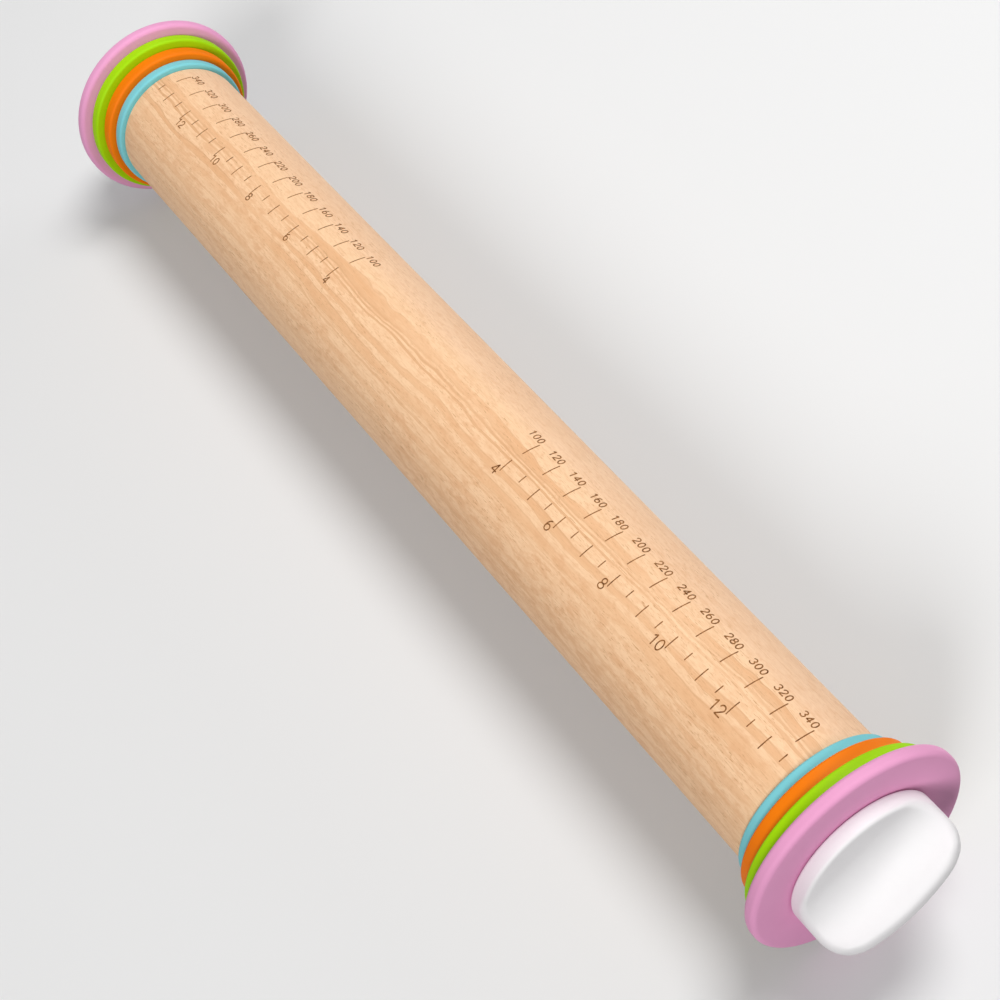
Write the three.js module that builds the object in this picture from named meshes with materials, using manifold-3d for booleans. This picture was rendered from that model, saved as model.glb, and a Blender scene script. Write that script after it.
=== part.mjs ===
import * as THREE from "three";
import { mergeVertices } from "three/addons/utils/BufferGeometryUtils.js";
import Module from "manifold-3d";

const wasm = await Module();
wasm.setup();

// Adjustable rolling pin, in millimetres. The axis of the barrel is X and Z is up.
// Each end holds four thickness rings and a screw-on knob; both ends are alike.

// Barrel
const barrelRadius = 22.5;
const barrelLength = 352;
const barrelChamfer = 0.8;

// Thickness rings: how far each stands over the barrel, and its width along the axis
const blueStep = 1.6;
const blueWidth = 3.65;
const orangeStep = 3.8;
const orangeWidth = 4.8;
const greenStep = 6.4;
const greenWidth = 4.15;
const pinkStep = 10;
const pinkWidth = 4.2;
const ringEdge = 0.5;
const pinkEdge = 1.5;

// Gap between neighbours along the axis, and clearance round a fitted piece
const faceGap = 0.1;
const fit = 0.3;

// Knob: a hollow pinch grip with a finger scoop above and below. Its turn is how far round
// it stands from level once it is screwed tight.
const knobTurn = 18.5;
const knobRadius = 21.5;
const knobReach = 20.1;
const flangeWidth = 4.9;
const flangeEdge = 0.8;
const scoopRadius = 10;
const tabThickness = 6;
const noseEdge = 2.2;
const noseFlatRadius = 6;
const noseCrown = 1.2;
const cornerRadius = 8.8;
const sideDraft = 0.1;
const gripWall = 2;
const ribThickness = 1.8;
const ribOffset = 11.5;

// Hub: closes the grip from behind. Its boss carries the rings and holds the bolt's head
const plateThickness = 2.2;
const bossRadius = 10;
const bossLength = 30;
const bossChamfer = 0.8;

// Bolt held in the hub, and the threaded insert in the barrel that takes it
const boltRadius = 4;
const boltLength = 60;
const boltTip = 1;
const headFlats = 13;
const headHeight = 5.3;
const insertRadius = 6;
const insertLength = 16;
const boreEnd = 1;

// How far a cutting shape runs past what it cuts
const overrun = 2;

// Facets round the axis, round a small shaft and along each rounding
const aroundCount = 48;
const shaftCount = 32;
const scoopCount = 10;
const cornerCount = 5;
const noseCount = 3;
const ringEdgeCount = 2;

// Places along the axis, worked out from the sizes above
const barrelEnd = barrelLength / 2;
const ringBore = bossRadius + fit;
const ringStack = [
  { name: "ring_blue", step: blueStep, width: blueWidth, edge: ringEdge, color: 0x7fd1e0 },
  { name: "ring_orange", step: orangeStep, width: orangeWidth, edge: ringEdge, color: 0xfa7819 },
  { name: "ring_green", step: greenStep, width: greenWidth, edge: ringEdge, color: 0x9ee008 },
  { name: "ring_pink", step: pinkStep, width: pinkWidth, edge: pinkEdge, color: 0xeda8d4 },
];
const stackWidth = ringStack.reduce((sum, ring) => sum + faceGap + ring.width, 0);
const knobBack = barrelEnd + stackWidth + faceGap;
const knobFront = knobBack + knobReach;
const plateFront = knobBack + plateThickness;
const bossEnd = knobBack - bossLength;
const headSeat = plateFront - headHeight;
const boltEnd = headSeat - boltLength;
const pocketFloor = barrelEnd - bossLength - boreEnd;
const insertEnd = pocketFloor - insertLength;
const boreFloor = boltEnd - (knobBack - barrelEnd) - boreEnd;

// A closed mesh as a manifold solid, with only its shared positions kept
function toSolid(geometry) {
  const bare = geometry.index ? geometry.toNonIndexed() : geometry.clone();
  bare.deleteAttribute("normal");
  bare.deleteAttribute("uv");
  const merged = mergeVertices(bare, faceGap / aroundCount / aroundCount);
  const vertProperties = new Float32Array(merged.attributes.position.array);
  const triVerts = new Uint32Array(merged.index.array);
  return new wasm.Manifold(new wasm.Mesh({ numProp: 3, vertProperties, triVerts }));
}

function toGeometry(solid) {
  const mesh = solid.getMesh();
  const geometry = new THREE.BufferGeometry();
  geometry.setAttribute("position", new THREE.BufferAttribute(mesh.vertProperties, mesh.numProp));
  geometry.setIndex(new THREE.BufferAttribute(mesh.triVerts, 1));
  geometry.computeVertexNormals();
  return geometry;
}

// A profile of [radius, x] points turned about X, with a flat facet at the bottom
function revolve(profile, count = aroundCount) {
  const points = profile.map(([r, x]) => new THREE.Vector2(r, x));
  const turned = new THREE.LatheGeometry(points, count, Math.PI / count);
  return turned.rotateZ(-Math.PI / 2);
}

// The same with the profile closed on itself, for a piece with a bore
function revolveRing(profile, count = aroundCount) {
  return revolve([...profile, profile[0]], count);
}

// An outline of [x, z] points made solid along Y, from -halfWidth to +halfWidth
function slab(outline, halfWidth) {
  const shape = new THREE.Shape(outline.map(([x, z]) => new THREE.Vector2(x, z)));
  const block = new THREE.ExtrudeGeometry(shape, { depth: 2 * halfWidth, bevelEnabled: false });
  return block.translate(0, 0, -halfWidth).rotateX(Math.PI / 2);
}

// A block between two places along X, centred on y and on z = 0
function block(x0, x1, y, width, height) {
  const box = new THREE.BoxGeometry(x1 - x0, width, height);
  return box.translate((x0 + x1) / 2, y, 0);
}

// A hexagonal bar along X
function hexBar(x0, x1, flats) {
  const bar = new THREE.CylinderGeometry(flats / Math.sqrt(3), flats / Math.sqrt(3), x1 - x0, 6);
  return bar.rotateZ(-Math.PI / 2).translate((x0 + x1) / 2, 0, 0);
}

// Points of an elliptic arc about (a, b), from one angle to another
function arc(a, b, radiusA, radiusB, from, to, count) {
  return Array.from({ length: count + 1 }, (_, i) => {
    const angle = from + (to - from) * (i / count);
    return [a + radiusA * Math.cos(angle), b + radiusB * Math.sin(angle)];
  });
}

// An outline without points that fall on the one before them
function distinct(points) {
  const least = faceGap / aroundCount;
  return points.filter(([a, b], i) => i === 0
    || Math.hypot(a - points[i - 1][0], b - points[i - 1][1]) > least);
}

// One thickness ring: a flat disc with a bore for the boss and rounded rim edges
function ringGeometry({ step, width, edge }, back) {
  const radius = barrelRadius + step;
  return revolveRing([
    [ringBore, back],
    ...arc(radius - edge, back + edge, edge, edge, -Math.PI / 2, 0, ringEdgeCount),
    ...arc(radius - edge, back + width - edge, edge, edge, 0, Math.PI / 2, ringEdgeCount),
    [ringBore, back + width],
  ]);
}

// Barrel: a plain cylinder, bored at both ends for the boss, the insert and the bolt
function barrelGeometry() {
  const half = [
    [0, boreFloor],
    [boltRadius + fit + fit, boreFloor],
    [boltRadius + fit + fit, insertEnd - fit],
    [insertRadius + fit, insertEnd - fit],
    [insertRadius + fit, pocketFloor],
    [ringBore, pocketFloor],
    [ringBore, barrelEnd],
    [barrelRadius - barrelChamfer, barrelEnd],
    [barrelRadius, barrelEnd - barrelChamfer],
  ];
  const other = half.map(([r, x]) => [r, -x]);
  return revolve([...other, ...half.reverse()]);
}

// Outline of the grip seen from above, as a profile to turn: the flange, the side,
// the rounded corner and the slightly crowned nose, drawn in by an even wall
function gripProfile(back, wall) {
  const corner = cornerRadius - wall;
  const side = knobRadius - sideDraft - wall;
  const front = knobFront - wall;
  const edge = wall > 0 ? 0 : flangeEdge;
  return distinct([
    [0, back],
    [knobRadius - wall - edge, back],
    [knobRadius - wall, back + edge],
    [knobRadius - wall, knobBack + flangeWidth],
    ...arc(side - corner, front - noseCrown - corner, corner, corner, 0, Math.PI / 2, cornerCount),
    [noseFlatRadius, front],
    [0, front],
  ]);
}

// Side view of the grip: the flange with its straight front, a quarter-round scoop that runs
// into the tab, and the tab's nose, above and below alike, drawn in by the same wall. The scoop
// is cut short where the flange or the tab is too small for the whole quarter.
function gripOutline(back, wall) {
  const axisX = knobBack + flangeWidth + scoopRadius;
  const axisZ = tabThickness / 2 + scoopRadius;
  const radius = scoopRadius + wall;
  const nose = wall > 0 ? 0 : noseEdge;
  const front = knobFront - wall;
  const top = wall > 0 ? knobRadius - wall : knobRadius + overrun;
  const start = Math.PI + Math.asin(Math.max(0, axisZ - top) / radius);
  const end = 1.5 * Math.PI + Math.asin(Math.min(0, front - nose - axisX) / radius);
  const curve = arc(axisX, axisZ, radius, radius, start, end, scoopCount);
  const tabHalf = curve[curve.length - 1][1];
  const upper = distinct([
    [back, top],
    [curve[0][0], top],
    ...curve,
    ...arc(front - nose, tabHalf - nose, nose, nose, Math.PI / 2, 0, noseCount),
  ]);
  const lower = upper.map(([x, z]) => [x, -z]).reverse();
  return [...upper, ...lower];
}

// Grip: the turned outline cut to the side view, then hollowed from behind,
// with three ribs left standing in the hollow
function gripGeometry() {
  const width = knobRadius + overrun;
  const solid = toSolid(revolve(gripProfile(knobBack, 0)))
    .intersect(toSolid(slab(gripOutline(knobBack - overrun, 0), width)));
  const hollow = toSolid(revolve(gripProfile(knobBack - overrun, gripWall)))
    .intersect(toSolid(slab(gripOutline(knobBack - overrun - overrun, gripWall), width)));
  const ribBack = knobBack + flangeWidth - gripWall;
  const middleBack = plateFront + fit;
  const ribs = [-ribOffset, ribOffset]
    .map((y) => toSolid(block(ribBack, knobFront, y, ribThickness, 2 * width)))
    .reduce((a, b) => a.add(b))
    .add(toSolid(block(middleBack, knobFront, 0, ribThickness, 2 * width)));
  return toGeometry(solid.subtract(hollow.subtract(ribs)));
}

// Hub: plate and boss, with a six-sided pocket sunk into them for the bolt's head
function hubGeometry() {
  const plateRadius = knobRadius - gripWall - fit;
  const body = toSolid(revolveRing([
    [boltRadius + fit, bossEnd],
    [bossRadius - bossChamfer, bossEnd],
    [bossRadius, bossEnd + bossChamfer],
    [bossRadius, knobBack],
    [plateRadius, knobBack],
    [plateRadius, plateFront],
    [boltRadius + fit, plateFront],
  ]));
  const pocket = hexBar(headSeat, plateFront + overrun, headFlats + 2 * fit);
  return toGeometry(body.subtract(toSolid(pocket)));
}

// Hexagon-head bolt, its head seated in the hub's pocket
function boltGeometry() {
  const shank = toSolid(revolve([
    [0, boltEnd],
    [boltRadius - boltTip, boltEnd],
    [boltRadius, boltEnd + boltTip],
    [boltRadius, headSeat + headHeight / 2],
    [0, headSeat + headHeight / 2],
  ], shaftCount));
  const head = toSolid(hexBar(headSeat, plateFront, headFlats));
  return toGeometry(shank.add(head));
}

function insertGeometry() {
  return revolveRing([
    [boltRadius + fit, insertEnd],
    [insertRadius, insertEnd],
    [insertRadius, pocketFloor],
    [boltRadius + fit, pocketFloor],
  ], shaftCount);
}

const beech = { color: 0xf3cfa6, roughness: 0.62, metalness: 0 };
const satinPlastic = { roughness: 0.42, metalness: 0 };
const whitePlastic = { color: 0xf6f4f5, roughness: 0.3, metalness: 0 };
const hubPlastic = { color: 0xe6e4e2, roughness: 0.5, metalness: 0 };
const steel = { color: 0xb9bcc0, roughness: 0.35, metalness: 1 };
const brass = { color: 0xc9a24e, roughness: 0.35, metalness: 1 };

function piece(name, geometry, finish) {
  const mesh = new THREE.Mesh(geometry, new THREE.MeshStandardMaterial(finish));
  mesh.name = name;
  return mesh;
}

// Everything that one end carries, modelled at the +X end
function endGroup(tag) {
  const end = new THREE.Group();
  let back = barrelEnd;
  for (const ring of ringStack) {
    back += faceGap;
    const finish = { ...satinPlastic, color: ring.color };
    end.add(piece(`${ring.name}_${tag}`, ringGeometry(ring, back), finish));
    back += ring.width;
  }
  end.add(piece(`insert_${tag}`, insertGeometry(), brass));
  const knob = new THREE.Group();
  knob.rotation.x = THREE.MathUtils.degToRad(knobTurn);
  knob.add(piece(`bolt_${tag}`, boltGeometry(), steel));
  knob.add(piece(`hub_${tag}`, hubGeometry(), hubPlastic));
  knob.add(piece(`grip_${tag}`, gripGeometry(), whitePlastic));
  end.add(knob);
  return end;
}

const group = new THREE.Group();
group.add(piece("barrel", barrelGeometry(), beech));
const nearEnd = endGroup("a");
const farEnd = endGroup("b");
farEnd.rotation.z = Math.PI;
group.add(nearEnd, farEnd);

export default group;
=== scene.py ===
"""Adjustable rolling pin: beech barrel with an engraved scale, four thickness rings and a
pinch knob at each end. The pin lies along X, Z is up, and lengths are written in millimetres."""

import math

import bpy
import numpy as np
from mathutils import Matrix


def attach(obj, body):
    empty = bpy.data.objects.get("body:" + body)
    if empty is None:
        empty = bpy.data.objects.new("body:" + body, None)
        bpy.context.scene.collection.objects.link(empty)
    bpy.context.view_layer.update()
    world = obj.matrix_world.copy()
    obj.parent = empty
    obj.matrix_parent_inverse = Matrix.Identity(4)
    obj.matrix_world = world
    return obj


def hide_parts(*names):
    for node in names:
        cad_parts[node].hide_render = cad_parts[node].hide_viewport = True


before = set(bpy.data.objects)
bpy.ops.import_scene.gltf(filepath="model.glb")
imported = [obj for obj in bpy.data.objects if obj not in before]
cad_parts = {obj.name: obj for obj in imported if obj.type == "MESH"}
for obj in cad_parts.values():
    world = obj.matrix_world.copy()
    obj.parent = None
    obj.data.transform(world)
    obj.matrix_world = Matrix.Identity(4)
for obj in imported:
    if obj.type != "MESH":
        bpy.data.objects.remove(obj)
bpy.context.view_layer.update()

MM = 0.001
MM_IN_METRE = 1000.0

# Sizes shared with the solids
BARREL_R = 22.5
BARREL_END = 176.0
POCKET_R = 10.3
POCKET_FLOOR = 145.0
RING_BORE = 10.3
KNOB_BACK = 193.3
KNOB_FRONT = 213.4
KNOB_R = 21.5
KNOB_TURN = 18.5
FLANGE_W = 4.9
SCOOP_R = 10.0
TAB_HALF = 3.0
NOSE_CROWN = 1.2
CORNER_R = 8.8
SIDE_DRAFT = 0.1
GRIP_WALL = 2.0
# name, step over the barrel, inner face and outer face along the axis, rounding of the rim
RINGS = (
    ("blue", 1.6, 176.1, 179.75, 0.8),
    ("orange", 3.8, 179.85, 184.65, 0.9),
    ("green", 6.4, 184.75, 188.9, 0.9),
    ("pink", 10.0, 189.0, 193.2, 1.5),
)
PINK_STEP = RINGS[-1][1]

# Round edges and lead-ins of the visible surfaces, where the solids have plain facets
BARREL_EDGE = 0.8
POCKET_LEAD = 0.4
RING_LEAD = 0.4
NOSE_EDGE = 2.8
FLANGE_EDGE = 1.0
SIDE_EDGE = 2.4
BACK_EDGE = 0.8

# Points round the axis for barrel and rings, and for a grip
TURN_COLUMNS = 240
GRIP_COLUMNS = 320


# Meshes

def put_in_scene(name, data):
    """An object at the origin that shows a mesh, a lamp or a camera."""
    made = bpy.data.objects.new(name, data)
    bpy.context.scene.collection.objects.link(made)
    return made


def put_mesh(name, points, faces, material, smooth=True):
    """An object at the origin from points in millimetres and faces. If the closed shape holds a
    negative volume, every face is turned over so that all of them point outwards."""
    points = np.asarray(points, dtype=float)
    volume = 0.0
    for face in faces:
        a = points[face[:, 0]]
        for k in range(1, face.shape[1] - 1):
            volume += np.einsum("ij,ij->", a, np.cross(points[face[:, k]], points[face[:, k + 1]]))
    if volume < 0:
        faces = [face[:, ::-1] for face in faces]
    mesh = bpy.data.meshes.new(name)
    mesh.from_pydata((points * MM).tolist(), [], [f for face in faces for f in face.tolist()])
    mesh.update()
    mesh.polygons.foreach_set("use_smooth", np.full(len(mesh.polygons), smooth))
    mesh.materials.append(material)
    return put_in_scene(name, mesh)


def lattice(rows, columns, wrap_rows=False):
    """Quads of a grid of rows by columns of points, whose columns close on themselves."""
    r = np.arange(rows if wrap_rows else rows - 1)[:, None]
    c = np.arange(columns)[None, :]
    next_r = (r + 1) % rows
    next_c = (c + 1) % columns
    corners = (r * columns + c, r * columns + next_c,
               next_r * columns + next_c, next_r * columns + c)
    return np.stack(np.broadcast_arrays(*corners), -1).reshape(-1, 4)


def fan(pole, first, columns, flip=False):
    """Triangles from one pole point to a closed row of points."""
    c = np.arange(columns)
    tri = np.stack([np.full(columns, pole), first + c, first + (c + 1) % columns], -1)
    return tri[:, ::-1] if flip else tri


def angles_round(columns):
    """Even steps round the axis, the first half a step from zero."""
    return np.linspace(0, 2 * np.pi, columns, endpoint=False) + np.pi / columns


def closed_by_fans(grid, columns, first_x, last_x):
    """A grid of points in closed rows, with a fan from a point on the axis to its first row and
    another to its last."""
    count = len(grid)
    points = np.vstack([grid, [[first_x, 0, 0], [last_x, 0, 0]]])
    return points, [lattice(count // columns, columns),
                    fan(count, 0, columns, flip=True),
                    fan(count + 1, count - columns, columns)]


def turned(profile):
    """A profile of (x, radius) turned about X: each point goes round a circle of its radius.
    A profile that starts and ends on the axis is closed by two fans, any other closes on itself."""
    profile = np.asarray(profile, dtype=float)
    capped = profile[0, 1] == 0
    body = profile[1:-1] if capped else profile
    x = np.repeat(body[:, 0], TURN_COLUMNS)
    r = np.repeat(body[:, 1], TURN_COLUMNS)
    a = np.tile(angles_round(TURN_COLUMNS), len(body))
    points = np.stack([x, r * np.cos(a), r * np.sin(a)], -1)
    if capped:
        return closed_by_fans(points, TURN_COLUMNS, profile[0, 0], profile[-1, 0])
    return points, [lattice(len(body), TURN_COLUMNS, wrap_rows=True)]


def round_corner(x, r, radius, start, stop, count=6):
    """Points (x, r) of a quarter round about a centre, between two angles in degrees."""
    a = np.radians(np.linspace(start, stop, count + 1))
    return np.stack([x + radius * np.cos(a), r + radius * np.sin(a)], -1)


def at_end(points, tag):
    """Points of end a as they are, and of end b turned half round about Z."""
    return points if tag == "a" else points * np.array([-1.0, -1.0, 1.0])


def turned_about_x(points, degrees):
    """Points turned about the pin's axis, from +Y towards +Z."""
    a = math.radians(degrees)
    y, z = points[:, 1], points[:, 2]
    return np.stack([points[:, 0], y * math.cos(a) - z * math.sin(a),
                     y * math.sin(a) + z * math.cos(a)], -1)


# Shader nodes

# Sockets of a Mix node that holds colours
MIX_AMOUNT = 0
MIX_UNDER = 6
MIX_OVER = 7
MIX_RESULT = 2

# Stops that spread the middle of a noise over the whole range
WIDE = ((0.3, 0.0), (0.7, 1.0))


def new_material(name):
    material = bpy.data.materials.new(name)
    material.use_nodes = True
    tree = material.node_tree
    shader = tree.nodes["Principled BSDF"]
    return material, tree, shader


def node(tree, kind, **values):
    """A node with its settings, and its inputs by their names."""
    made = tree.nodes.new(kind)
    for key, value in values.items():
        if key in made.inputs:
            made.inputs[key].default_value = value
        else:
            setattr(made, key, value)
    return made


def feed(tree, socket, value):
    """Sets a socket to a number, a vector or a colour, or links a node's output to it."""
    if isinstance(value, (int, float)):
        socket.default_value = value
    elif isinstance(value, tuple):
        socket.default_value = (*value, 1) if socket.type == "RGBA" else value
    else:
        tree.links.new(value, socket)


def noise(tree, along, across, detail=3.0, rough=0.5, warp=0.0, output="Fac"):
    """Noise with this many waves to a millimetre along the pin, and across it."""
    place = node(tree, "ShaderNodeTexCoord")
    mapping = node(tree, "ShaderNodeMapping")
    mapping.inputs["Scale"].default_value = [MM_IN_METRE * s for s in (along, across, across)]
    tree.links.new(place.outputs["Object"], mapping.inputs["Vector"])
    made = node(tree, "ShaderNodeTexNoise", Scale=1.0, Detail=detail, Roughness=rough,
                Distortion=warp)
    tree.links.new(mapping.outputs["Vector"], made.inputs["Vector"])
    return made.outputs[output]


def ramp(tree, value, *stops):
    """Grey levels at places from 0 to 1, joined by straight lines."""
    made = node(tree, "ShaderNodeValToRGB")
    band = made.color_ramp
    while len(band.elements) < len(stops):
        band.elements.new(0.5)
    for element, (where, level) in zip(band.elements, stops):
        element.position = where
        element.color = (level, level, level, 1)
    tree.links.new(value, made.inputs["Fac"])
    return made.outputs["Color"]


def blend_colors(tree, amount, under, over):
    """Mix of two colours by an amount; each may be a value or a node's output."""
    made = node(tree, "ShaderNodeMix", data_type="RGBA")
    feed(tree, made.inputs[MIX_AMOUNT], amount)
    feed(tree, made.inputs[MIX_UNDER], under)
    feed(tree, made.inputs[MIX_OVER], over)
    return made.outputs[MIX_RESULT]


def calculate(tree, operation, *values):
    """A Math node; each value may be a number or a node's output."""
    made = node(tree, "ShaderNodeMath", operation=operation)
    for socket, value in zip(made.inputs, values):
        feed(tree, socket, value)
    return made.outputs[0]


def product(tree, first, *others):
    for other in others:
        first = calculate(tree, "MULTIPLY", first, other)
    return first


def on_vectors(tree, operation, *values, output="Vector"):
    """A Vector Math node; each value may be a vector or a node's output."""
    made = node(tree, "ShaderNodeVectorMath", operation=operation)
    for socket, value in zip(made.inputs, values):
        feed(tree, socket, value)
    return made.outputs[output]


def coat(tree, shader, color, roughness, gloss=0.5):
    tree.links.new(color, shader.inputs["Base Color"])
    shader.inputs["Roughness"].default_value = roughness
    shader.inputs["Specular IOR Level"].default_value = gloss


def bumped(tree, shader, height, distance, strength):
    """Fine relief in the finish; the distance is in metres."""
    made = node(tree, "ShaderNodeBump", Strength=strength, Distance=distance)
    tree.links.new(height, made.inputs["Height"])
    tree.links.new(made.outputs["Normal"], shader.inputs["Normal"])


# Materials

WOOD_PALE = (0.990, 0.660, 0.400)
WOOD_DULL = (0.965, 0.630, 0.380)
WOOD_PLAIN = (0.975, 0.655, 0.440)
WOOD_BAND = (0.810, 0.440, 0.215)
WOOD_LINE = (0.600, 0.290, 0.120)
WOOD_MOTTLE = (0.800, 0.440, 0.225)
WOOD_FIBRE = (0.740, 0.420, 0.210)
WOOD_FLECK = (0.580, 0.290, 0.125)
BURNT_DEEP = (0.150, 0.055, 0.016)
BURNT_SHALLOW = (0.400, 0.175, 0.058)

# The pin's middle seen from the tree's heart in millimetres, the angles by which the two are
# askew in radians, and how far the growth rings wave in millimetres
HEART_OFFSET = (0.0, 53.8, 49.8)
HEART_ASKEW = (0.0, 0.012, 0.012)
GROWTH_WAVE = (0.0, 7.0, 7.0)

# Way from the axis to where the growth rings lie flat under the skin. Its length makes its
# dot product with a place in metres 1 there.
PLAIN_WAY = (0.0, 32.0, 31.0)


def heart_distance(tree, place):
    """Distance from the tree's heart in millimetres. The heart lies below the pin, on its -Y
    side and a little askew to it, and slow noise makes the growth rings wave."""
    askew = node(tree, "ShaderNodeMapping")
    askew.inputs["Location"].default_value = HEART_OFFSET
    askew.inputs["Rotation"].default_value = HEART_ASKEW
    askew.inputs["Scale"].default_value = [MM_IN_METRE] * 3
    tree.links.new(place, askew.inputs["Vector"])
    wobble = noise(tree, 0.014, 0.060, detail=4.0, rough=0.55, output="Color")
    shaken = on_vectors(tree, "MULTIPLY_ADD", wobble, GROWTH_WAVE, askew.outputs["Vector"])
    across = on_vectors(tree, "MULTIPLY", shaken, (0.0, 1.0, 1.0))
    return on_vectors(tree, "LENGTH", across, output="Value")


def beech_wood():
    """Beech turned from a plank. On the +Y side of the top the growth rings pass flat under the
    skin, so that face is plain and pale; past the top they come out as long waving tan bands
    with a dark line along one edge, and down the other side they crowd into fine streaks, where
    the short dark spindles of beech show too."""
    material, tree, shader = new_material("beech_wood")
    place = node(tree, "ShaderNodeTexCoord").outputs["Object"]
    growth = node(tree, "ShaderNodeTexNoise", noise_dimensions="1D", Scale=0.34, Detail=2.0,
                  Roughness=0.55)
    tree.links.new(heart_distance(tree, place), growth.inputs["W"])
    season = growth.outputs["Fac"]
    facing = on_vectors(tree, "DOT_PRODUCT", place, PLAIN_WAY, output="Value")

    fade = noise(tree, 0.012, 0.10, detail=2.0)
    cloud = noise(tree, 0.02, 0.05, detail=2.0)
    fibre = noise(tree, 0.11, 2.3, detail=4.0, rough=0.65)
    ripple = noise(tree, 0.34, 0.9, rough=0.6, warp=0.7)
    mottle = noise(tree, 0.17, 0.45, rough=0.6, warp=0.6)
    spindles = noise(tree, 0.42, 3.8, rough=0.6, warp=0.5)
    patches = noise(tree, 0.03, 0.12)

    plain = product(tree, ramp(tree, facing, (0.88, 0.0), (0.965, 1.0)), 0.6)
    figured = ramp(tree, facing, (0.0, 0.45), (0.50, 1.0), (0.88, 1.0), (0.96, 0.15))
    band = product(tree, ramp(tree, season, (0.47, 0.0), (0.60, 1.0)), figured,
                   ramp(tree, fade, (0.34, 0.25), (0.62, 0.85)))
    line = product(tree, ramp(tree, season, (0.500, 0.0), (0.530, 1.0), (0.575, 0.0)), figured,
                   ramp(tree, fade, (0.40, 0.05), (0.62, 0.60)))
    blotch = product(tree, ramp(tree, mottle, (0.46, 0.0), (0.65, 0.62)),
                     ramp(tree, cloud, (0.42, 0.35), (0.58, 1.0)),
                     ramp(tree, facing, (0.60, 1.0), (0.85, 0.35)))
    fleck = product(tree, ramp(tree, spindles, (0.58, 0.0), (0.68, 1.0)),
                    ramp(tree, patches, (0.34, 0.15), (0.60, 0.80)))

    color = WOOD_PALE
    for amount, over in (
        (ramp(tree, cloud, *WIDE), WOOD_DULL),
        (plain, WOOD_PLAIN),
        (band, WOOD_BAND),
        (line, WOOD_LINE),
        (blotch, WOOD_MOTTLE),
        (ramp(tree, ripple, (0.46, 0.0), (0.72, 0.45)), WOOD_MOTTLE),
        (ramp(tree, fibre, (0.45, 0.0), (0.78, 0.44)), WOOD_FIBRE),
        (fleck, WOOD_FLECK),
    ):
        color = blend_colors(tree, amount, color, over)
    coat(tree, shader, color, roughness=0.55, gloss=0.3)
    bumped(tree, shader, fibre, distance=0.00006, strength=0.6)
    return material


def burnt_line():
    """Scorched wood in the engraved strokes: dark brown, lighter where the burn is shallow."""
    material, tree, shader = new_material("burnt_line")
    depth = noise(tree, 0.9, 0.9, rough=0.6)
    color = blend_colors(tree, ramp(tree, depth, (0.35, 0.0), (0.65, 1.0)),
                         BURNT_DEEP, BURNT_SHALLOW)
    coat(tree, shader, color, roughness=0.8, gloss=0.05)
    return material


def satin_plastic(name, color, shade, roughness=0.55, gloss=0.15):
    """Moulded plastic: one colour with a faint cloudiness and a very fine moulded grain."""
    material, tree, shader = new_material(name)
    cloud = noise(tree, 0.09, 0.09, detail=2.0)
    grain = noise(tree, 5.0, 5.0, detail=2.0, rough=0.6)
    mixed = blend_colors(tree, ramp(tree, cloud, *WIDE), color, shade)
    coat(tree, shader, mixed, roughness, gloss)
    bumped(tree, shader, grain, distance=0.00002, strength=0.25)
    return material


def turned_metal(name, color, roughness):
    """Turned or plated metal with faint rings of tool marks along the axis."""
    material, tree, shader = new_material(name)
    marks = noise(tree, 6.0, 0.2, detail=2.0)
    shade = tuple(0.8 * c for c in color)
    mixed = blend_colors(tree, ramp(tree, marks, *WIDE), color, shade)
    coat(tree, shader, mixed, roughness)
    shader.inputs["Metallic"].default_value = 1.0
    bumped(tree, shader, marks, distance=0.00003, strength=0.4)
    return material


BEECH = beech_wood()
BURNT = burnt_line()
RING_FINISH = {
    "blue": satin_plastic("ring_blue_plastic", (0.215, 0.64, 0.70), (0.205, 0.61, 0.67)),
    "orange": satin_plastic("ring_orange_plastic", (0.95, 0.215, 0.001), (0.93, 0.20, 0.001)),
    "green": satin_plastic("ring_green_plastic", (0.38, 0.74, 0.001), (0.36, 0.71, 0.001)),
    "pink": satin_plastic("ring_pink_plastic", (0.87, 0.385, 0.63), (0.85, 0.37, 0.61)),
}
GRIP_WHITE = satin_plastic("grip_white_plastic", (0.88, 0.865, 0.87), (0.86, 0.845, 0.85),
                           roughness=0.45, gloss=0.2)
HUB_WHITE = satin_plastic("hub_white_plastic", (0.78, 0.77, 0.76), (0.75, 0.74, 0.73))
STEEL = turned_metal("bolt_steel", (0.55, 0.56, 0.58), 0.3)
BRASS = turned_metal("insert_brass", (0.72, 0.52, 0.22), 0.35)


# Barrel

# First row of points on the plain side past the edge, and rows from there to the middle
SIDE_START = 160.0
SIDE_ROWS = 10


def make_barrel():
    """The barrel's half profile, from the pocket in one end round the outside to the other:
    a straight side with small round edges, and a plain pocket for the hub's boss at each end."""
    side = np.linspace(SIDE_START, 0, SIDE_ROWS + 1)[:-1]
    half = np.vstack([
        [[POCKET_FLOOR, 0.0], [POCKET_FLOOR, POCKET_R], [BARREL_END - POCKET_LEAD, POCKET_R],
         [BARREL_END, POCKET_R + POCKET_LEAD]],
        round_corner(BARREL_END - BARREL_EDGE, BARREL_R - BARREL_EDGE, BARREL_EDGE, 0, 90),
        np.stack([side, np.full(SIDE_ROWS, BARREL_R)], -1),
    ])
    other = half[::-1] * np.array([-1.0, 1.0])
    points, faces = turned(np.vstack([half, [[0.0, BARREL_R]], other]))
    barrel = put_mesh("barrel_beech", points, faces, BEECH)
    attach(barrel, "barrel_body")
    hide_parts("barrel")


make_barrel()


# Engraved scale

# Strokes: widths, height over the wood, depth in it and longest step from point to point
NUMBER_W = 0.37
TICK_W = 0.32
STROKE_LIFT = 0.03
STROKE_DEPTH = 0.2
STROKE_STEP = 0.35

# The two points of a rounded tip: reach past the line's end and width there, both as shares
# of half the stroke's width
TIP_NEAR = (0.55, 0.8)
TIP_END = (0.9, 0.3)

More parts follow.
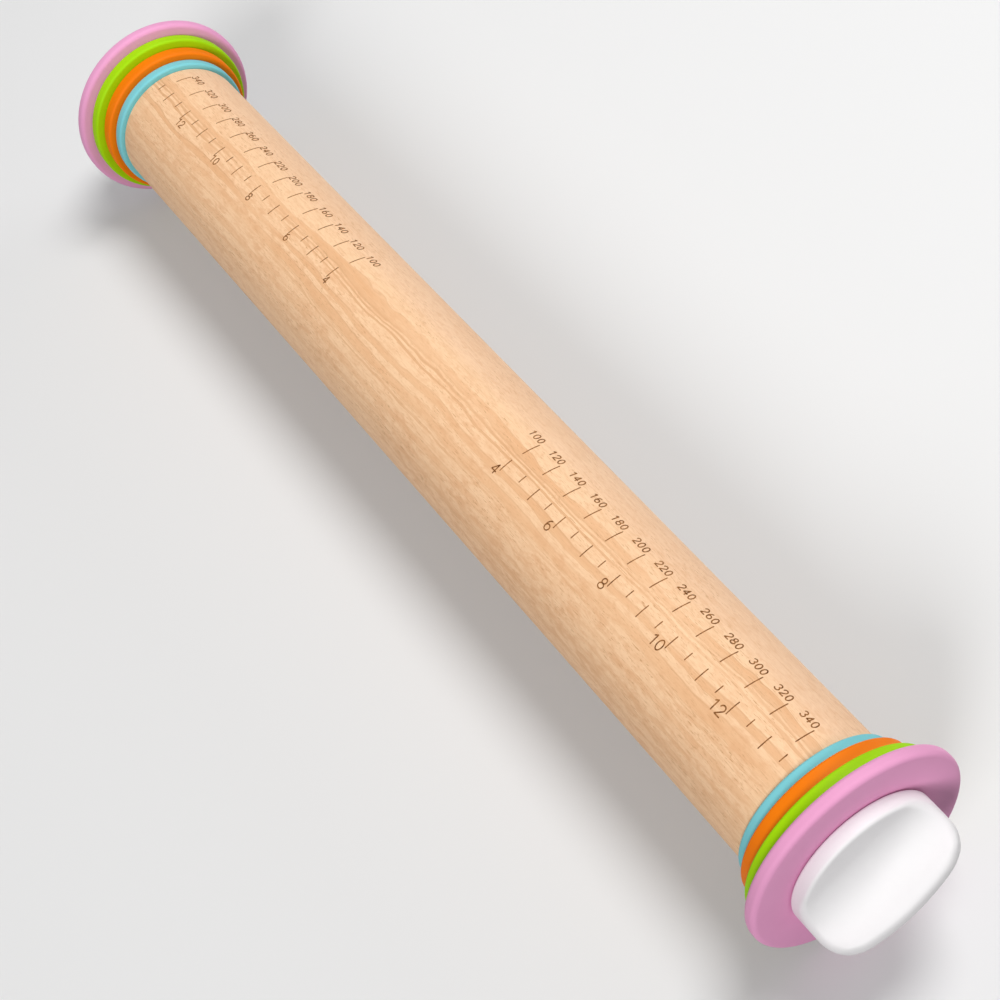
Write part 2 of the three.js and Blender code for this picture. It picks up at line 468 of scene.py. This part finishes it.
# Width of a digit as a share of its height
DIGIT_W = 0.62

# Foot and head of a mark in degrees from +Y towards the top, on the half of the barrel
# towards end a and on the half towards end b
MM_MARK = {1: (86.0, 71.8), -1: (81.2, 67.7)}
INCH_MARK = {1: (106.0, 95.0), -1: (102.1, 90.7)}
HALF_INCH_MARK = {1: (101.9, 95.5), -1: (98.0, 91.2)}

# Values of the marks, and the numbers: height, step from digit to digit as a share of the
# height, distance from the mark along the arc, and right end from the mark along the axis
MM_VALUES = range(100, 341, 20)
MM_HEIGHT = 2.25
MM_PITCH = 0.92
MM_GAP = 0.35
MM_RIGHT = {1: -0.6, -1: 5.6}
INCH = 25.4
HALF_INCHES = range(8, 28)
INCH_HEIGHT = {1: 3.1, -1: 2.6}
INCH_PITCH = 0.8
INCH_DROP = {1: 2.0, -1: 2.1}
INCH_RIGHT = -0.7

# How much nearer the middle the first inch mark of the half towards end a stands
FIRST_INCH_SLIP = 1.1


def bow(cx, cy, rx, ry, start, stop, count=14):
    """Points of an elliptic arc between two angles in degrees."""
    a = np.radians(np.linspace(start, stop, count))
    return np.stack([cx + rx * np.cos(a), cy + ry * np.sin(a)], -1)


def digit_strokes(digit):
    """The strokes of one digit in a box 0.62 wide and 1 high, as open lines of points."""
    if digit == "0":
        return [bow(0.31, 0.5, 0.29, 0.5, 90, 450, 29)]
    if digit == "1":
        return [np.array([[0.12, 0.80], [0.36, 1.0], [0.36, 0.0]])]
    if digit == "2":
        return [np.vstack([bow(0.31, 0.72, 0.28, 0.28, 170, -35), [[0.02, 0.0], [0.62, 0.0]]])]
    if digit == "3":
        return [np.vstack([bow(0.29, 0.75, 0.27, 0.25, 150, -80),
                           bow(0.29, 0.26, 0.31, 0.26, 80, -150)])]
    if digit == "4":
        return [np.array([[0.62, 0.27], [0.0, 0.27], [0.45, 1.0], [0.45, 0.0]])]
    if digit == "6":
        return [np.vstack([bow(0.42, 0.42, 0.40, 0.56, 100, 180, 8),
                           bow(0.31, 0.29, 0.29, 0.29, 180, 540, 25)])]
    if digit == "8":
        return [bow(0.31, 0.75, 0.24, 0.25, -90, 270, 25),
                bow(0.31, 0.26, 0.30, 0.26, 90, 450, 25)]
    raise ValueError(digit)


def dense(line, step):
    """A line of points with more points put in, no further apart than the step."""
    length = np.concatenate([[0], np.cumsum(np.linalg.norm(np.diff(line, axis=0), axis=1))])
    want = np.unique(np.concatenate([length, np.arange(0, length[-1], step)]))
    return np.stack([np.interp(want, length, line[:, k]) for k in (0, 1)], -1)


def stroke_solid(line, width):
    """A stroke laid on the barrel. The line holds (x, s): the place along the axis and the arc
    length round the barrel from its top towards +Y. Each point becomes four: left and right of
    the line by half the width, just above the surface and a little below it. The width shrinks
    at both ends to a rounded tip."""
    line = dense(line, STROKE_STEP)
    way = np.gradient(line, axis=0)
    way /= np.linalg.norm(way, axis=1, keepdims=True)
    tip = 0.5 * width * np.array([[TIP_NEAR[0]], [TIP_END[0]]])
    line = np.vstack([line[:1] - way[:1] * tip[::-1], line, line[-1:] + way[-1:] * tip])
    way = np.vstack([way[:1], way[:1], way, way[-1:], way[-1:]])
    side = np.stack([-way[:, 1], way[:, 0]], -1)
    half = np.full((len(line), 1), 0.5 * width)
    half[[0, -1]] *= TIP_END[1]
    half[[1, -2]] *= TIP_NEAR[1]
    left = line + side * half
    right = line - side * half
    corners = np.stack([left, right, right, left], 1)
    radius = BARREL_R + np.array([STROKE_LIFT, STROKE_LIFT, -STROKE_DEPTH, -STROKE_DEPTH])
    turn = corners[..., 1] / BARREL_R
    points = np.stack([corners[..., 0], radius * np.sin(turn), radius * np.cos(turn)], -1)
    count = len(line)
    ends = np.array([[0, 1, 2, 3], [4 * count - 1, 4 * count - 2, 4 * count - 3, 4 * count - 4]])
    return points.reshape(-1, 3), np.vstack([lattice(count, 4), ends[:, ::-1]])


def number_width(text, height, pitch):
    return height * (pitch * (len(text) - 1) + DIGIT_W)


def number_lines(text, right, base, height, pitch):
    """The strokes of a number. right is the place of its right end along x, base the arc of its
    foot, and pitch the step from one digit to the next as a share of the height."""
    left = right - number_width(text, height, pitch)
    for i, digit in enumerate(text):
        for stroke in digit_strokes(digit):
            yield stroke * height + np.array([left + i * pitch * height, base])


def arc_place(degrees):
    """Arc length from the top of the barrel, for a direction measured from +Y towards the top."""
    return math.radians(90 - degrees) * BARREL_R


def scale_lines():
    """All strokes of the scale: each mark stands at half its value from the barrel's middle,
    on both sides. Millimetres are on the +Y side with their numbers beyond them, and half
    inches on the -Y side, long at whole inches, with numbers at the even ones."""
    for side in (1, -1):
        foot, head = (arc_place(degrees) for degrees in MM_MARK[side])
        for value in MM_VALUES:
            x = side * value / 2
            yield np.array([[x, foot], [x, head]]), TICK_W
            right = x + MM_RIGHT[side]
            for line in number_lines(str(value), right, head + MM_GAP, MM_HEIGHT, MM_PITCH):
                yield line, NUMBER_W
        for half_inch in HALF_INCHES:
            x = side * half_inch * INCH / 4
            if side > 0 and half_inch == HALF_INCHES[0]:
                x -= FIRST_INCH_SLIP
            mark = INCH_MARK if half_inch % 2 == 0 else HALF_INCH_MARK
            foot, head = (arc_place(degrees) for degrees in mark[side])
            yield np.array([[x, foot], [x, head]]), TICK_W
            if half_inch % 4 == 0:
                text = str(half_inch // 2)
                height = INCH_HEIGHT[side]
                past = INCH_RIGHT if side > 0 else number_width(text, height, INCH_PITCH)
                base = foot - INCH_DROP[side]
                for line in number_lines(text, x + past, base, height, INCH_PITCH):
                    yield line, NUMBER_W


def make_scale():
    points, faces, total = [], [], 0
    for line, width in scale_lines():
        stroke_points, stroke_faces = stroke_solid(line, width)
        points.append(stroke_points)
        faces.append(stroke_faces + total)
        total += len(stroke_points)
    scale = put_mesh("engraved_scale", np.vstack(points), [np.vstack(faces)], BURNT, smooth=False)
    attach(scale, "barrel_body")


make_scale()


# Thickness rings

# Steps of a rim's rounding, and width of the row of faces next to it, which keeps the flat
# sides evenly shaded
RIM_STEPS = 8
FACE_ROW = 1.0


def make_ring(name, step, back, front, edge, tag):
    """A flat disc with a bore: straight faces, rounded rim edges and a small lead-in in the bore."""
    radius = BARREL_R + step
    face_end = radius - edge - FACE_ROW
    profile = np.vstack([
        [[back + RING_LEAD, RING_BORE], [back, RING_BORE + RING_LEAD], [back, face_end]],
        round_corner(back + edge, radius - edge, edge, 180, 90, RIM_STEPS),
        round_corner(front - edge, radius - edge, edge, 90, 0, RIM_STEPS),
        [[front, face_end], [front, RING_BORE + RING_LEAD], [front - RING_LEAD, RING_BORE]],
    ])
    points, faces = turned(profile)
    ring = put_mesh(f"ring_{name}_{tag}_disc", at_end(points, tag), faces, RING_FINISH[name])
    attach(ring, f"{name}_{tag}")
    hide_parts(f"ring_{name}_{tag}")


for tag in "ab":
    for name, step, back, front, edge in RINGS:
        make_ring(name, step, back, front, edge, tag)


# Knob grips

# The nose's crown falls off with the square of the radius, up to this many times the radius
# where the round corners start
CROWN_LIMIT = 1.3

# Where the scoop's edge starts to grow towards the sides, and how far on it is full grown,
# as shares of the knob's radius
SIDE_FROM = 0.70
SIDE_SPAN = 0.28

# The skin is sought from an eye on the axis, this far in front of the knob's back, up to this
# reach and in this many halvings
EYE = 2.3
REACH = 40.0
HALVINGS = 26

# Rows of the outer and the inner skin, and their first directions from the axis in degrees
OUTER_ROWS = 190
INNER_ROWS = 60
OUTER_START = 0.4
INNER_START = 2.0


def rounded_both(a, b, radius):
    """Inside both of two distance fields, with the edge where they meet rounded to a radius."""
    inner = np.minimum(np.maximum(a, b), -radius)
    return inner + np.hypot(np.maximum(a + radius, 0), np.maximum(b + radius, 0))


def grip_depth(points):
    """Signed distance to the grip's skin, negative inside. The grip is a round body with a
    slightly tapered side, a crowned nose and round corners in plan. Above and below it is cut
    away in front of the flange down to the tab, with a scoop of round section between them:
    the distance to a corner rounded inwards is its radius less the distance to its centre.
    The edge where skin and scoop meet is small above and below, and grows in a smooth step
    towards both sides, where the scoop runs out."""
    x, y, z = points[..., 0], points[..., 1], points[..., 2]
    r = np.hypot(y, z)
    nose_r = KNOB_R - SIDE_DRAFT - CORNER_R
    before = x - KNOB_BACK - FLANGE_W
    above = np.abs(z) - TAB_HALF
    taper = SIDE_DRAFT * np.clip(before / (KNOB_FRONT - KNOB_BACK - FLANGE_W), 0, 1)
    side = r - (KNOB_R - taper)
    front = x - (KNOB_FRONT - NOSE_CROWN * np.minimum(r / nose_r, CROWN_LIMIT) ** 2)
    hollow = SCOOP_R - np.hypot(np.maximum(SCOOP_R - before, 0), np.maximum(SCOOP_R - above, 0))
    body = rounded_both(side, front, CORNER_R)
    tab = rounded_both(hollow, front, NOSE_EDGE)
    aside = np.clip((np.abs(y) / KNOB_R - SIDE_FROM) / SIDE_SPAN, 0, 1)
    edge = FLANGE_EDGE + (SIDE_EDGE - FLANGE_EDGE) * aside * aside * (3 - 2 * aside)
    skin = rounded_both(body, tab, edge)
    return rounded_both(skin, KNOB_BACK - x, BACK_EDGE)


def grip_skin(alpha, phi, wall):
    """The skin, drawn in by a wall, seen from a point on the axis inside the flange: for each
    pair of directions the distance at which the depth is -wall is found by halving an interval."""
    a, p = np.meshgrid(alpha, phi, indexing="ij")
    way = np.stack([np.cos(a), np.sin(a) * np.sin(p), np.sin(a) * np.cos(p)], -1)
    centre = np.array([KNOB_BACK + EYE, 0.0, 0.0])
    low = np.zeros(a.shape)
    high = np.full(a.shape, REACH)
    for _ in range(HALVINGS):
        middle = 0.5 * (low + high)
        inside = grip_depth(centre + way * middle[..., None]) < -wall
        low = np.where(inside, middle, low)
        high = np.where(inside, high, middle)
    return centre + way * (0.5 * (low + high))[..., None]


def make_grip(tag):
    """Outer skin from the nose to the back edge, the flat rim behind, and the inner wall back to
    the nose, all on one grid so that the shell is closed."""
    phi = angles_round(GRIP_COLUMNS)
    sideways = math.radians(90)
    last = sideways + math.atan2(EYE, KNOB_R - BACK_EDGE)
    outer = grip_skin(np.linspace(math.radians(OUTER_START), last, OUTER_ROWS), phi, 0.0)
    inner = grip_skin(np.linspace(sideways, math.radians(INNER_START), INNER_ROWS), phi, GRIP_WALL)
    rim = inner[:1].copy()
    rim[..., 0] = KNOB_BACK
    grid = np.concatenate([outer, rim, inner]).reshape(-1, 3)
    points, faces = closed_by_fans(grid, GRIP_COLUMNS, KNOB_FRONT, KNOB_FRONT - GRIP_WALL)
    points = turned_about_x(points, KNOB_TURN)
    grip = put_mesh(f"grip_{tag}_shell", at_end(points, tag), faces, GRIP_WHITE)
    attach(grip, f"knob_{tag}")
    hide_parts(f"grip_{tag}")


for tag in "ab":
    make_grip(tag)


# Pieces inside keep the solids' shape and get their finishes

def finish_node(name, material):
    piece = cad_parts[name]
    piece.data.materials.clear()
    piece.data.materials.append(material)


for tag in "ab":
    finish_node(f"hub_{tag}", HUB_WHITE)
    finish_node(f"bolt_{tag}", STEEL)
    finish_node(f"insert_{tag}", BRASS)


# Floor, light and camera

FLOOR_HALF = 1400.0
FLOOR_Z = -(BARREL_R + PINK_STEP)

# Tones of floor and backdrop: as they light the pin, and as the camera sees them
FLOOR_UNSEEN = (0.27, 0.27, 0.28)
FLOOR_SEEN = (0.82, 0.82, 0.82)
BACKDROP_UNSEEN = (0.21, 0.21, 0.21)
BACKDROP_SEEN = (0.86, 0.86, 0.86)

# name, place in metres, diameter in metres, power in watts
LAMPS = (
    ("key_lamp", (0.02, 0.50, 1.20), 0.6, 10.1),
    ("fill_lamp", (3.22, -3.12, 2.60), 2.0, 147.0),
    ("side_lamp", (0.0, 1.43, 0.45), 0.7, 3.6),
)

# The camera that the scale marks and outlines in the photograph give: axes, place in metres,
# focal length and width of the picture in pixels, and shifts as shares of the width
CAMERA_RIGHT = (0.54244, 0.81238, -0.21401)
CAMERA_UP = (-0.60877, 0.55566, 0.56626)
CAMERA_BACK = (0.57893, -0.17688, 0.79596)
CAMERA_PLACE = (0.37303, -0.11193, 0.42854)
FOCAL_PX = 1918.2
PICTURE_PX = 1000.0
SHIFT_X = -0.0087
SHIFT_Y = 0.0614
SENSOR_MM = 36.0
CLIP_START = 0.01


def seen_rays(tree):
    """1 for the rays that see the background, straight or in a gloss, and 0 for all others."""
    path = node(tree, "ShaderNodeLightPath")
    seen = path.outputs["Is Camera Ray"]
    for kind in ("Is Glossy Ray", "Is Transmission Ray"):
        seen = calculate(tree, "MAXIMUM", seen, path.outputs[kind])
    return seen


def make_floor():
    """A floor that the pink rings stand on."""
    material, tree, shader = new_material("floor_pale")
    tone = blend_colors(tree, seen_rays(tree), FLOOR_UNSEEN, FLOOR_SEEN)
    coat(tree, shader, tone, roughness=0.9, gloss=0.1)
    corners = [(sx * FLOOR_HALF * MM, sy * FLOOR_HALF * MM, FLOOR_Z * MM)
               for sx, sy in ((-1, -1), (1, -1), (1, 1), (-1, 1))]
    mesh = bpy.data.meshes.new("floor")
    mesh.from_pydata(corners, [], [[0, 1, 2, 3]])
    mesh.materials.append(material)
    floor = put_in_scene("floor", mesh)


def placed(right, up, back, place):
    """A matrix with these axes, at a place in metres."""
    turn = Matrix(np.stack([right, up, back], 1).tolist()).to_4x4()
    turn.translation = place
    return turn


def soft_lamp(name, place, size, power):
    """A round lamp whose beam, -Z, points at the pin's middle."""
    back = np.array(place, float)
    back /= np.linalg.norm(back)
    right = np.cross([0.0, 0.0, 1.0], back)
    right /= np.linalg.norm(right)
    lamp = bpy.data.lights.new(name, "AREA")
    lamp.shape = "DISK"
    lamp.size = size
    lamp.energy = power
    holder = put_in_scene(name, lamp)
    holder.matrix_world = placed(right, np.cross(back, right), back, place)


def make_camera():
    camera = bpy.data.cameras.new("camera")
    camera.sensor_width = SENSOR_MM
    camera.lens = FOCAL_PX * SENSOR_MM / PICTURE_PX
    camera.shift_x = SHIFT_X
    camera.shift_y = SHIFT_Y
    camera.clip_start = CLIP_START
    holder = put_in_scene("camera", camera)
    holder.matrix_world = placed(CAMERA_RIGHT, CAMERA_UP, CAMERA_BACK, CAMERA_PLACE)
    bpy.context.scene.camera = holder


def make_world():
    """Plain light from all round, which the camera sees as a pale backdrop."""
    world = bpy.data.worlds.new("world")
    world.use_nodes = True
    tree = world.node_tree
    backdrop = tree.nodes["Background"]
    tone = blend_colors(tree, seen_rays(tree), BACKDROP_UNSEEN, BACKDROP_SEEN)
    tree.links.new(tone, backdrop.inputs["Color"])
    backdrop.inputs["Strength"].default_value = 1.0
    bpy.context.scene.world = world


make_floor()
for name, place, size, power in LAMPS:
    soft_lamp(name, place, size, power)
make_camera()
make_world()
bpy.context.scene.view_settings.view_transform = "Standard"
